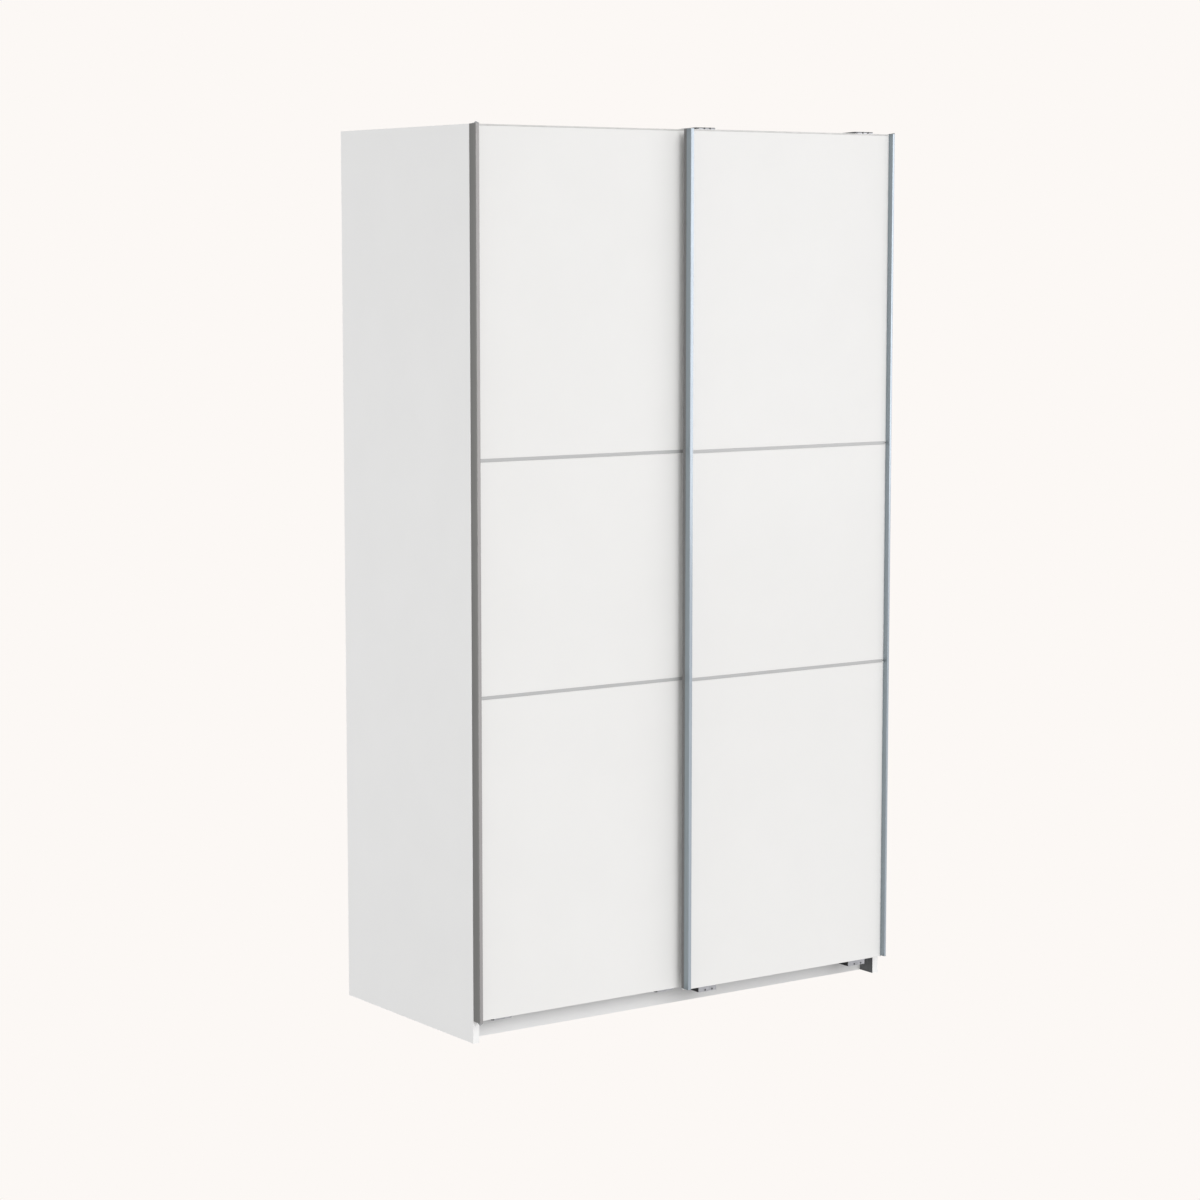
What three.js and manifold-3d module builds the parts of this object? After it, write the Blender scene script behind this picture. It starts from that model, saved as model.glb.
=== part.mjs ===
// Sliding door wardrobe: a chipboard carcass, white outside and graphite inside, with two
// overlay doors that hang from rollers on a double top track and are steered by small wheels
// in a guide rail below.
//
// Frame while building: X from the outer face of the left side, Y backwards from the front
// edges of the sides, Z up from the floor. The finished group is then moved so that its
// origin is the middle of its own footprint. Millimetres.

import * as THREE from 'three';
import { mergeVertices } from 'three/addons/utils/BufferGeometryUtils.js';
import Module from 'manifold-3d';

// ---------- Driving dimensions ----------

const WIDTH = 1176;              // over both sides
const HEIGHT = 2030;             // top of the sides
const SIDE_DEPTH = 546;          // front to back of a side
const BOARD = 16;                // carcass chipboard
const GAP = 0.3;                 // kept between pieces that touch

const TOP_LEVEL = 1980;          // upper face of the top panel, let down to hide the track
const PLINTH_HEIGHT = 60;        // underside of the bottom panel
const PLINTH_SETBACK = 47;       // plinth face behind the front edges of the sides
const FRONT_INSET = 2;           // top and bottom panels behind the front edges of the sides
const PARTITION_INSET = 6;       // centre partition behind the same edges
const SHELF_INSET = 26;          // shelves behind the same edges
const BACK_THICKNESS = 3;        // hardboard back
const BACK_INSET = 11;           // back of the hardboard in front of the sides' rear edges
const GROOVE_DEPTH = 6;          // groove in each side for the back
const BACK_BOTTOM = 12;
const BACK_TOP = 2012;
const REAR_PLINTH_INSET = 25;    // rear plinth in front of the rear edge of the bottom panel

const DOOR_WIDTH = 600;
const DOOR_BOTTOM = 51.5;
const DOOR_TOP = 2029.3;
const DOOR_PANEL = 8;            // thickness of the door boards
const LIP = 16.9;                // how far a handle profile stands in front of the door boards
const LIP_WIDTH = 8.5;
const PROFILE_WALL = 1.2;
const PROFILE_RISE = 1;          // profile above the top edge of the door boards
const DIVIDER_LEVELS = [778, 1302.4];
const DIVIDER_HEIGHT = 7.5;
const DIVIDER_FLANGE = 0.8;
const DIVIDER_HALF_WEB = 0.6;    // the web parts two boards by twice this

const REAR_DOOR_FACE = -11;      // front of the rear door's boards
const DOOR_PITCH = 29.8;         // front door's boards in front of the rear door's
const REAR_DOOR_X = 0;           // left edges at rest
const FRONT_DOOR_X = 554.5;

const HANGER_WIDTH = 54;
const HANGER_PLACES = [60.5, 526];   // middles, from the left edge of the door
const HANGER_BOTTOM = 1925;
const HANGER_SHEET = 2;
const HANGER_LEG_SPACE = 3.5;    // between a roller and the hanger's leg behind it
const HANGER_LEG_DROP = 6;       // end of the leg below the roller's axle
const REAR_DOOR_CREST = 2015;    // top of the rear door's hangers, under the front door's
const FRONT_DOOR_CREST = 2034.5;

const GUIDE_WIDTH = 51;
const GUIDE_PLACES = [75, 527];   // middles, from the left edge of the door
const GUIDE_PLATE = 1.6;
const GUIDE_PLATE_TOP = 92;
const REAR_DOOR_ARM = [46, 48.5];
const FRONT_DOOR_ARM = [37.5, 45];
const ARM_BEYOND_WHEEL = 7;      // arm's end behind the centre of its wheel

const ROLLER_RADIUS = 13;        // over the flanges
const ROLLER_TREAD = 11.8;       // bottom of the groove, which rolls on the track's bead
const ROLLER_WIDTH = 8;
const ROLLER_CHAMFER = 0.6;
const TREAD_PLAY = 0.4;          // between the bead and each flange of the groove
const FLANGE_SLOPE = 0.3;
const AXLE_RADIUS = 3;
const RIVET_HEAD_RADIUS = 5.2;
const RIVET_HEAD = 1.2;
const RUNNING_GAP = 0.3;
const WHEEL_RADIUS = 8;
const WHEEL_BOTTOM = 53.2;
const WHEEL_TOP = 57.6;
const WHEEL_CHAMFER = 0.5;
const SPIGOT_RADIUS = 2.5;
const SNAP_RADIUS = 3.4;         // head of the spigot that the wheel snaps over
const SNAP_HEIGHT = 0.5;

const ROUND = 24;                // sides of a turned piece
const OVERLAP = 1;               // of a cutting tool past its workpiece, and of joined pieces

// ---------- Derived levels and planes ----------

const INNER_LEFT = BOARD;
const INNER_RIGHT = WIDTH - BOARD;
const PARTITION_LEFT = (WIDTH - BOARD) / 2;
const PARTITION_RIGHT = PARTITION_LEFT + BOARD;
const BACK_REAR = SIDE_DEPTH - BACK_INSET;
const BACK_FRONT = BACK_REAR - BACK_THICKNESS;
const JOINER_FLANGE = 0.9;
const PANEL_REAR = BACK_FRONT - GAP - JOINER_FLANGE - GAP;

const END_GAP = 1;               // rails end short of the sides
const TRACK_BASE = 1.5;
const TRACK_WALL_HEIGHT = 7;
const TRACK_WALL = 1.5;
const TRACK_CHANNEL = 17;        // inside width of a channel
const BEAD_WIDTH = 3;
const BEAD_HEIGHT = 2.5;
const TRACK_FRONT = 5;
const TRACK_REAR = 66;
const FRONT_CHANNEL_Y = 15;      // carries the rear door
const REAR_CHANNEL_Y = 48;       // carries the front door
const TRACK_BOTTOM = TOP_LEVEL + GAP;
const AXLE_LEVEL = TRACK_BOTTOM + TRACK_BASE + BEAD_HEIGHT + GAP + ROLLER_TREAD;

const GUIDE_RAIL_TOP = PLINTH_HEIGHT - GAP;
const GUIDE_RAIL_BOTTOM = 52.5;
const GUIDE_RAIL_WALL = 1.2;
const GUIDE_RAIL_FRONT = 4;
const GUIDE_CHANNEL = 17.8;

// ---------- Materials ----------

function surface(colour, roughness, metalness) {
  return new THREE.MeshStandardMaterial({ color: colour, roughness, metalness });
}

const WHITE_BOARD = surface(0xf0efed, 0.55, 0);
const GRAPHITE_BOARD = surface(0x696a6c, 0.5, 0);
const DOOR_WHITE = surface(0xf2f1ef, 0.45, 0);
const HARDBOARD = surface(0x66676a, 0.65, 0);
const ALUMINIUM = surface(0xa4a8aa, 0.42, 0.85);
const ZINC = surface(0xa6a9ab, 0.4, 0.8);
const CHROME = surface(0xc8cacc, 0.2, 0.95);
const BLACK_PLASTIC = surface(0x26282a, 0.55, 0);
const WHITE_PLASTIC = surface(0xe4e4e0, 0.5, 0);
const GREY_PLASTIC = surface(0x8a8b8d, 0.5, 0);

// ---------- Geometry helpers ----------

function block([x0, x1], [y0, y1], [z0, z1]) {
  const geometry = new THREE.BoxGeometry(x1 - x0, y1 - y0, z1 - z0);
  return geometry.translate((x0 + x1) / 2, (y0 + y1) / 2, (z0 + z1) / 2);
}

function outline(points) {
  return new THREE.Shape(points.map(([u, v]) => new THREE.Vector2(u, v)));
}

// A section drawn in X and Y, run upwards from z0 to z1.
function runAlongZ(shape, [z0, z1]) {
  const geometry = new THREE.ExtrudeGeometry(shape, { depth: z1 - z0, bevelEnabled: false });
  return geometry.translate(0, 0, z0);
}

// A section drawn in Y and Z, run from x0 to x1.
function runAlongX(shape, [x0, x1]) {
  const geometry = new THREE.ExtrudeGeometry(shape, { depth: x1 - x0, bevelEnabled: false });
  const turn = new THREE.Matrix4().makeBasis(
    new THREE.Vector3(0, 1, 0), new THREE.Vector3(0, 0, 1), new THREE.Vector3(1, 0, 0));
  return geometry.applyMatrix4(turn).translate(x0, 0, 0);
}

// A profile of [radius, height] points turned about an axis through the origin along +Z.
function turned(profile) {
  const points = profile.map(([r, h]) => new THREE.Vector2(r, h));
  return new THREE.LatheGeometry(points, ROUND).rotateX(Math.PI / 2);
}

// The same, with the axis along +Y: height 0 lies at the given centre.
function turnedAlongY(profile, [x, y, z]) {
  return turned(profile).rotateX(-Math.PI / 2).translate(x, y, z);
}

const wasm = await Module();
wasm.setup();

function toSolid(geometry) {
  const plain = new THREE.BufferGeometry();
  plain.setAttribute('position', geometry.getAttribute('position'));
  plain.setIndex(geometry.getIndex());
  const merged = mergeVertices(plain, 1e-4);
  return new wasm.Manifold(new wasm.Mesh({
    numProp: 3,
    vertProperties: new Float32Array(merged.getAttribute('position').array),
    triVerts: new Uint32Array(merged.getIndex().array),
  }));
}

function toGeometry(solid) {
  const mesh = solid.getMesh();
  const geometry = new THREE.BufferGeometry();
  geometry.setAttribute('position', new THREE.BufferAttribute(mesh.vertProperties, 3));
  geometry.setIndex(new THREE.BufferAttribute(mesh.triVerts, 1));
  return geometry;
}

function join(...geometries) {
  const solids = geometries.map(toSolid);
  return toGeometry(solids.reduce((whole, next) => whole.add(next)));
}

function cut(geometry, ...tools) {
  const solids = tools.map(toSolid);
  return toGeometry(solids.reduce((whole, next) => whole.subtract(next), toSolid(geometry)));
}

const wardrobe = new THREE.Group();

function add(name, geometry, material, x = 0) {
  const mesh = new THREE.Mesh(geometry, material);
  mesh.name = name;
  mesh.position.x = x;
  wardrobe.add(mesh);
}

// ---------- Carcass boards ----------

// Plan section of a side, with the groove for the back in its inner face.
function sideSection(outer, inner) {
  const grooveBottom = inner - Math.sign(inner - outer) * GROOVE_DEPTH;
  const corners = [
    [outer, 0], [inner, 0],
    [inner, BACK_FRONT - GAP], [grooveBottom, BACK_FRONT - GAP],
    [grooveBottom, BACK_REAR + GAP], [inner, BACK_REAR + GAP],
    [inner, SIDE_DEPTH], [outer, SIDE_DEPTH],
  ];
  return outline(corners);
}

function addCarcass() {
  const between = [INNER_LEFT + GAP, INNER_RIGHT - GAP];
  const boardDepth = [FRONT_INSET, PANEL_REAR];
  const topBoard = [TOP_LEVEL - BOARD, TOP_LEVEL];
  const bottomBoard = [PLINTH_HEIGHT, PLINTH_HEIGHT + BOARD];
  const plinthRise = [0, PLINTH_HEIGHT - GAP];
  const plinthFront = [PLINTH_SETBACK, PLINTH_SETBACK + BOARD];
  const plinthRear = PANEL_REAR - REAR_PLINTH_INSET;

  const rightSide = sideSection(WIDTH, WIDTH - BOARD);
  add('side_panel_left', runAlongZ(sideSection(0, BOARD), [0, HEIGHT]), WHITE_BOARD);
  add('side_panel_right', runAlongZ(rightSide, [0, HEIGHT]), WHITE_BOARD);
  add('plinth_front', block(between, plinthFront, plinthRise), WHITE_BOARD);
  add('plinth_rear', block(between, [plinthRear - BOARD, plinthRear], plinthRise), WHITE_BOARD);
  add('top_panel', block(between, boardDepth, topBoard), GRAPHITE_BOARD);
  add('bottom_panel', block(between, boardDepth, bottomBoard), GRAPHITE_BOARD);
  add('centre_partition', block([PARTITION_LEFT, PARTITION_RIGHT], [PARTITION_INSET, PANEL_REAR],
    [bottomBoard[1] + GAP, topBoard[0] - GAP]), GRAPHITE_BOARD);
}

// Two hardboard sheets in the grooves, joined behind the partition by an H-section strip.
function addBack() {
  const middle = WIDTH / 2;
  const halfWeb = 0.6;
  const flangeReach = 11;
  const rise = [BACK_BOTTOM, BACK_TOP];
  const sheet = [BACK_FRONT, BACK_REAR];
  const grooveReach = GROOVE_DEPTH - GAP;
  const leftSpan = [INNER_LEFT - grooveReach, middle - halfWeb - GAP];
  const rightSpan = [middle + halfWeb + GAP, INNER_RIGHT + grooveReach];
  add('back_panel_left', block(leftSpan, sheet, rise), HARDBOARD);
  add('back_panel_right', block(rightSpan, sheet, rise), HARDBOARD);

  const front = BACK_FRONT - GAP;
  const rear = BACK_REAR + GAP;
  const half = [
    [flangeReach, front - JOINER_FLANGE], [flangeReach, front], [halfWeb, front],
    [halfWeb, rear], [flangeReach, rear], [flangeReach, rear + JOINER_FLANGE],
  ];
  const otherHalf = half.map(([x, y]) => [-x, y]).reverse();
  const section = outline([...half, ...otherHalf].map(([x, y]) => [middle + x, y]));
  add('back_joiner_strip', runAlongZ(section, rise), GREY_PLASTIC);
}

// ---------- Interior ----------

const HAT_SHELF_LEVEL = 1640;
const SHELF_SIDE_GAP = 0.6;
const SHELF_REAR_GAP = 2;
const SHELF_COUNT = 4;           // in the right bay

function addShelf(name, left, right, level) {
  const span = [left + SHELF_SIDE_GAP, right - SHELF_SIDE_GAP];
  const depth = [SHELF_INSET, PANEL_REAR - SHELF_REAR_GAP];
  add(name, block(span, depth, [level, level + BOARD]), GRAPHITE_BOARD);
}

function addShelves() {
  addShelf('hat_shelf', INNER_LEFT, PARTITION_LEFT, HAT_SHELF_LEVEL);
  const lowest = PLINTH_HEIGHT + BOARD;
  const pitch = (TOP_LEVEL - BOARD - lowest) / (SHELF_COUNT + 1);
  for (let i = 1; i <= SHELF_COUNT; i += 1) {
    const level = Math.round(lowest + i * pitch - BOARD / 2);
    addShelf(`shelf_${i}`, PARTITION_RIGHT, INNER_RIGHT, level);
  }
}

const RAIL_RADIUS = 12.5;
const RAIL_WALL = 1.2;
const RAIL_LEVEL = HAT_SHELF_LEVEL - 55;
const RAIL_Y = 275;
const CUP_PLATE = 3;
const CUP_PLATE_RADIUS = 21;
const CUP_DEPTH = 14;
const CUP_WALL = 3;

function circle(centre, radius) {
  const points = [];
  for (let i = 0; i < ROUND; i += 1) {
    const angle = (2 * Math.PI * i) / ROUND;
    points.push([centre[0] + radius * Math.cos(angle), centre[1] + radius * Math.sin(angle)]);
  }
  return points;
}

// A screwed-on cup that holds one end of the rail: a plate with a collar open at the top.
// The plate lies against a board's face, and the cup opens in the given direction along X.
function railCup(face, direction) {
  const centre = [RAIL_Y, RAIL_LEVEL];
  const pocketRadius = RAIL_RADIUS + GAP;
  const collarRadius = pocketRadius + CUP_WALL;
  const end = CUP_PLATE + CUP_DEPTH;
  const reach = (near, far) => [near, far]
    .map((x) => face + direction * (GAP + x))
    .sort((a, b) => a - b);
  const plate = runAlongX(outline(circle(centre, CUP_PLATE_RADIUS)), reach(0, CUP_PLATE));
  const collar = runAlongX(outline(circle(centre, collarRadius)), reach(0, end));
  const pocketEnds = reach(CUP_PLATE, end + OVERLAP);
  const pocket = runAlongX(outline(circle(centre, pocketRadius)), pocketEnds);
  const mouth = block(pocketEnds, [RAIL_Y - pocketRadius, RAIL_Y + pocketRadius],
    [RAIL_LEVEL, RAIL_LEVEL + collarRadius + OVERLAP]);
  return cut(join(plate, collar), pocket, mouth);
}

function addHangingRail() {
  const endGap = GAP + CUP_PLATE + GAP;
  const centre = [RAIL_Y, RAIL_LEVEL];
  const section = outline(circle(centre, RAIL_RADIUS));
  section.holes.push(new THREE.Path(outline(circle(centre, RAIL_RADIUS - RAIL_WALL)).getPoints()));
  add('hanging_rail', runAlongX(section, [INNER_LEFT + endGap, PARTITION_LEFT - endGap]), CHROME);
  add('rail_bracket_left', railCup(INNER_LEFT, 1), ZINC);
  add('rail_bracket_right', railCup(PARTITION_LEFT, -1), ZINC);
}

// ---------- Track above and guide rail below ----------

const STOP_LENGTH = 14;
const STOP_HALF_WIDTH = 6.5;     // clear of the hangers' legs, which hang beside the channel
const STOP_RISE = 1;             // above the rollers' axles

// Upper outline of one channel, from its rear wall to its front wall.
function channelOutline(centre) {
  const base = TRACK_BOTTOM + TRACK_BASE;
  const top = TRACK_BOTTOM + TRACK_WALL_HEIGHT;
  const inside = TRACK_CHANNEL / 2;
  const outside = inside + TRACK_WALL;
  const bead = BEAD_WIDTH / 2;
  const steps = [
    [outside, base], [outside, top], [inside, top], [inside, base],
    [bead, base], [bead, base + BEAD_HEIGHT], [-bead, base + BEAD_HEIGHT], [-bead, base],
    [-inside, base], [-inside, top], [-outside, top], [-outside, base],
  ];
  return steps.map(([y, z]) => [centre + y, z]);
}

function addTrack() {
  const ends = [INNER_LEFT + END_GAP, INNER_RIGHT - END_GAP];
  const front = channelOutline(FRONT_CHANNEL_Y).slice(0, -1);
  const section = outline([
    [TRACK_FRONT, TRACK_BOTTOM], [TRACK_REAR, TRACK_BOTTOM], [TRACK_REAR, TRACK_BOTTOM + TRACK_BASE],
    ...channelOutline(REAR_CHANNEL_Y), ...front,
  ]);
  add('top_track', runAlongX(section, ends), ALUMINIUM);

  // A stop straddles the bead where a roller's rim reaches it with the door at its limit.
  const [leftRoller, rightRoller] = HANGER_PLACES;
  const leftEnd = leftRoller - ROLLER_RADIUS - GAP;
  const rightEnd = WIDTH - DOOR_WIDTH + rightRoller + ROLLER_RADIUS + GAP;
  const half = STOP_HALF_WIDTH;
  const saddle = BEAD_WIDTH / 2 + GAP;
  const foot = TRACK_BOTTOM + TRACK_BASE + GAP;
  const stopTop = AXLE_LEVEL + STOP_RISE;
  for (const [row, centre] of [['front', FRONT_CHANNEL_Y], ['rear', REAR_CHANNEL_Y]]) {
    const shape = outline([
      [-half, foot], [-saddle, foot], [-saddle, foot + BEAD_HEIGHT],
      [saddle, foot + BEAD_HEIGHT], [saddle, foot], [half, foot],
      [half, stopTop], [-half, stopTop],
    ].map(([y, z]) => [centre + y, z]));
    const leftStop = runAlongX(shape, [leftEnd - STOP_LENGTH, leftEnd]);
    const rightStop = runAlongX(shape, [rightEnd, rightEnd + STOP_LENGTH]);
    add(`track_stop_${row}_left`, leftStop, BLACK_PLASTIC);
    add(`track_stop_${row}_right`, rightStop, BLACK_PLASTIC);
  }
}

// Y of the rear inner wall of guide channel 0 (rear door) or 1 (front door).
function guideChannelRear(channel) {
  return GUIDE_RAIL_FRONT + (channel + 1) * (GUIDE_RAIL_WALL + GUIDE_CHANNEL);
}

function guideWheelY(channel) {
  return guideChannelRear(channel) - RUNNING_GAP - WHEEL_RADIUS;
}

// Double channel screwed under the bottom panel, open downwards.
function addGuideRail() {
  const ceiling = GUIDE_RAIL_TOP - GUIDE_RAIL_WALL;
  const rear = guideChannelRear(1) + GUIDE_RAIL_WALL;
  const middle = [guideChannelRear(0), guideChannelRear(0) + GUIDE_RAIL_WALL];
  const section = outline([
    [rear, GUIDE_RAIL_TOP], [GUIDE_RAIL_FRONT, GUIDE_RAIL_TOP],
    [GUIDE_RAIL_FRONT, GUIDE_RAIL_BOTTOM],
    [GUIDE_RAIL_FRONT + GUIDE_RAIL_WALL, GUIDE_RAIL_BOTTOM],
    [GUIDE_RAIL_FRONT + GUIDE_RAIL_WALL, ceiling],
    [middle[0], ceiling], [middle[0], GUIDE_RAIL_BOTTOM],
    [middle[1], GUIDE_RAIL_BOTTOM], [middle[1], ceiling],
    [guideChannelRear(1), ceiling], [guideChannelRear(1), GUIDE_RAIL_BOTTOM],
    [rear, GUIDE_RAIL_BOTTOM],
  ]);
  const ends = [INNER_LEFT + END_GAP, INNER_RIGHT - END_GAP];
  add('bottom_guide_rail', runAlongX(section, ends), ALUMINIUM);
}

// ---------- Doors ----------

// Plan section of a handle profile: a box-shaped lip in front and a pocket for the boards
// behind it. u runs inwards from the door's edge, and face is the front of the boards.
function profileSection(face, toX) {
  const front = face - LIP;
  const pocketFront = face - GAP;
  const pocketRear = face + DOOR_PANEL + GAP;
  const rear = pocketRear + PROFILE_WALL;
  const boxRear = pocketFront - PROFILE_WALL;
  const section = outline([
    [0, front], [LIP_WIDTH, front], [LIP_WIDTH, pocketFront], [PROFILE_WALL, pocketFront],
    [PROFILE_WALL, pocketRear], [LIP_WIDTH, pocketRear], [LIP_WIDTH, rear], [0, rear],
  ].map(([u, y]) => [toX(u), y]));
  const hollow = [
    [PROFILE_WALL, front + PROFILE_WALL], [PROFILE_WALL, boxRear],
    [LIP_WIDTH - PROFILE_WALL, boxRear], [LIP_WIDTH - PROFILE_WALL, front + PROFILE_WALL],
  ];
  section.holes.push(new THREE.Path(hollow.map(([u, y]) => new THREE.Vector2(toX(u), y))));
  return section;
}

// H-section strip between two door boards, seen from the front as a thin grey line.
function dividerSection(face, level) {
  const half = DIVIDER_HEIGHT / 2;
  const web = DIVIDER_HALF_WEB;
  const front = face - GAP;
  const rear = face + DOOR_PANEL + GAP;
  const foremost = front - DIVIDER_FLANGE;
  const rearmost = rear + DIVIDER_FLANGE;
  return outline([
    [foremost, -half], [front, -half], [front, -web], [rear, -web],
    [rear, -half], [rearmost, -half], [rearmost, half], [rear, half],
    [rear, web], [front, web], [front, half], [foremost, half],
  ].map(([y, z]) => [y, level + z]));
}

function addDoorLeaf(door, x, face) {
  const rise = [DOOR_BOTTOM, DOOR_TOP + PROFILE_RISE];
  const leftSection = profileSection(face, (u) => u);
  const rightSection = profileSection(face, (u) => DOOR_WIDTH - u);
  add(`${door}_profile_left`, runAlongZ(leftSection, rise), ALUMINIUM, x);
  add(`${door}_profile_right`, runAlongZ(rightSection, rise), ALUMINIUM, x);

  const edge = PROFILE_WALL + GAP;
  const span = [edge, DOOR_WIDTH - edge];
  const thickness = [face, face + DOOR_PANEL];
  const halfJoint = DIVIDER_HALF_WEB + GAP;
  const cuts = [DOOR_BOTTOM, ...DIVIDER_LEVELS, DOOR_TOP];
  const parts = ['bottom', 'middle', 'top'];
  parts.forEach((part, i) => {
    const low = cuts[i] + (i > 0 ? halfJoint : 0);
    const high = cuts[i + 1] - (i < parts.length - 1 ? halfJoint : 0);
    add(`${door}_board_${part}`, block(span, thickness, [low, high]), DOOR_WHITE, x);
  });

  const inside = [LIP_WIDTH + GAP, DOOR_WIDTH - LIP_WIDTH - GAP];
  ['lower', 'upper'].forEach((part, i) => {
    const section = dividerSection(face, DIVIDER_LEVELS[i]);
    add(`${door}_divider_${part}`, runAlongX(section, inside), ALUMINIUM, x);
  });
}

function hangerLegFront(channelY) {
  return channelY + ROLLER_WIDTH / 2 + HANGER_LEG_SPACE;
}

// Bent steel sheet: up behind the boards, back over the track, and down to the roller.
function hangerSection(face, crest, channelY) {
  const sheetFront = face + DOOR_PANEL + GAP;
  const legRear = hangerLegFront(channelY) + HANGER_SHEET;
  const legBottom = AXLE_LEVEL - HANGER_LEG_DROP;
  return outline([
    [sheetFront, HANGER_BOTTOM], [sheetFront + HANGER_SHEET, HANGER_BOTTOM],
    [sheetFront + HANGER_SHEET, crest - HANGER_SHEET], [legRear - HANGER_SHEET, crest - HANGER_SHEET],
    [legRear - HANGER_SHEET, legBottom], [legRear, legBottom],
    [legRear, crest], [sheetFront, crest],
  ]);
}

// Grooved nylon roller; the heights are along its axis from its middle.
function rollerProfile() {
  const half = ROLLER_WIDTH / 2;
  const treadHalf = BEAD_WIDTH / 2 + TREAD_PLAY;
  const flangeFoot = treadHalf + FLANGE_SLOPE;
  const edge = ROLLER_RADIUS - ROLLER_CHAMFER;
  const bore = AXLE_RADIUS + RUNNING_GAP;
  return [
    [bore, -half], [edge, -half], [ROLLER_RADIUS, -half + ROLLER_CHAMFER],
    [ROLLER_RADIUS, -flangeFoot], [ROLLER_TREAD, -treadHalf],
    [ROLLER_TREAD, treadHalf], [ROLLER_RADIUS, flangeFoot],
    [ROLLER_RADIUS, half - ROLLER_CHAMFER], [edge, half], [bore, half], [bore, -half],
  ];
}

// Rivet that carries a roller: heights from the roller's middle, the hanger behind it.
function axleProfile() {
  const front = -ROLLER_WIDTH / 2 - RUNNING_GAP;
  const rear = ROLLER_WIDTH / 2 + HANGER_LEG_SPACE + HANGER_SHEET + GAP;
  return [
    [0, front - RIVET_HEAD], [RIVET_HEAD_RADIUS, front - RIVET_HEAD],
    [RIVET_HEAD_RADIUS, front], [AXLE_RADIUS, front],
    [AXLE_RADIUS, rear], [RIVET_HEAD_RADIUS, rear],
    [RIVET_HEAD_RADIUS, rear + RIVET_HEAD], [0, rear + RIVET_HEAD],
  ];
}

function addHangers(door, x, face, crest, channelY) {
  const holeRadius = AXLE_RADIUS + GAP;
  ['left', 'right'].forEach((side, i) => {
    const centre = HANGER_PLACES[i];
    const span = [centre - HANGER_WIDTH / 2, centre + HANGER_WIDTH / 2];
    const sheet = runAlongX(hangerSection(face, crest, channelY), span);
    const hole = turnedAlongY([
      [0, -OVERLAP], [holeRadius, -OVERLAP],
      [holeRadius, HANGER_SHEET + OVERLAP], [0, HANGER_SHEET + OVERLAP],
    ], [centre, hangerLegFront(channelY), AXLE_LEVEL]);
    add(`${door}_hanger_${side}`, cut(sheet, hole), ZINC, x);
    const hub = [centre, channelY, AXLE_LEVEL];
    add(`${door}_roller_${side}`, turnedAlongY(rollerProfile(), hub), WHITE_PLASTIC, x);
    add(`${door}_axle_${side}`, turnedAlongY(axleProfile(), hub), ZINC, x);
  });
}

// Foot at the bottom of a door: a plate behind the boards, an arm running back under the
// guide rail, and a spigot with a snap head that carries the guide wheel.
function guideFoot(face, [armBottom, armTop], wheelY) {
  const plateFront = face + DOOR_PANEL + GAP;
  const plateRear = plateFront + GUIDE_PLATE;
  const armEnd = wheelY + ARM_BEYOND_WHEEL;
  const section = outline([
    [plateFront, armBottom], [armEnd, armBottom], [armEnd, armTop],
    [plateRear, armTop], [plateRear, GUIDE_PLATE_TOP], [plateFront, GUIDE_PLATE_TOP],
  ]);
  const foot = runAlongX(section, [-GUIDE_WIDTH / 2, GUIDE_WIDTH / 2]);
  const root = armTop - OVERLAP;
  const snapFoot = WHEEL_TOP + GAP;
  const snapTop = snapFoot + SNAP_HEIGHT;
  const spigot = turned([
    [0, root], [SPIGOT_RADIUS, root], [SPIGOT_RADIUS, snapFoot],
    [SNAP_RADIUS, snapFoot], [SPIGOT_RADIUS, snapTop], [0, snapTop],
  ]).translate(0, wheelY, 0);
  return join(foot, spigot);
}

function guideWheel() {
  const bore = SPIGOT_RADIUS + RUNNING_GAP;
  const edge = WHEEL_RADIUS - WHEEL_CHAMFER;
  return turned([
    [bore, WHEEL_BOTTOM], [edge, WHEEL_BOTTOM], [WHEEL_RADIUS, WHEEL_BOTTOM + WHEEL_CHAMFER],
    [WHEEL_RADIUS, WHEEL_TOP - WHEEL_CHAMFER], [edge, WHEEL_TOP],
    [bore, WHEEL_TOP], [bore, WHEEL_BOTTOM],
  ]);
}

function addGuides(door, x, face, arm, channel) {
  const wheelY = guideWheelY(channel);
  ['left', 'right'].forEach((side, i) => {
    const middle = x + GUIDE_PLACES[i];
    const wheel = guideWheel().translate(0, wheelY, 0);
    add(`${door}_guide_${side}`, guideFoot(face, arm, wheelY), ZINC, middle);
    add(`${door}_guide_wheel_${side}`, wheel, WHITE_PLASTIC, middle);
  });
}

function addRearDoor() {
  addDoorLeaf('rear_door', REAR_DOOR_X, REAR_DOOR_FACE);
  addHangers('rear_door', REAR_DOOR_X, REAR_DOOR_FACE, REAR_DOOR_CREST, FRONT_CHANNEL_Y);
  addGuides('rear_door', REAR_DOOR_X, REAR_DOOR_FACE, REAR_DOOR_ARM, 0);
}

function addFrontDoor() {
  const face = REAR_DOOR_FACE - DOOR_PITCH;
  addDoorLeaf('front_door', FRONT_DOOR_X, face);
  addHangers('front_door', FRONT_DOOR_X, face, FRONT_DOOR_CREST, REAR_CHANNEL_Y);
  addGuides('front_door', FRONT_DOOR_X, face, FRONT_DOOR_ARM, 1);
}

addCarcass();
addBack();
addShelves();
addHangingRail();
addTrack();
addGuideRail();
addRearDoor();
addFrontDoor();

// The front door's lip is the foremost plane and the sides' rear edges the rearmost.
const FOREMOST = REAR_DOOR_FACE - DOOR_PITCH - LIP;
wardrobe.position.set(-WIDTH / 2, -(FOREMOST + SIDE_DEPTH) / 2, 0);

export default wardrobe;
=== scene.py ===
"""Looks of the sliding door wardrobe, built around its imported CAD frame.

Everything handed to Blender is in metres, and a length in millimetres goes through mm(). Places
and outer sizes come from the boxes of the CAD nodes.
"""

import math

import bmesh
import bpy
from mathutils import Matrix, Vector
from mathutils.geometry import tessellate_polygon


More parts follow.
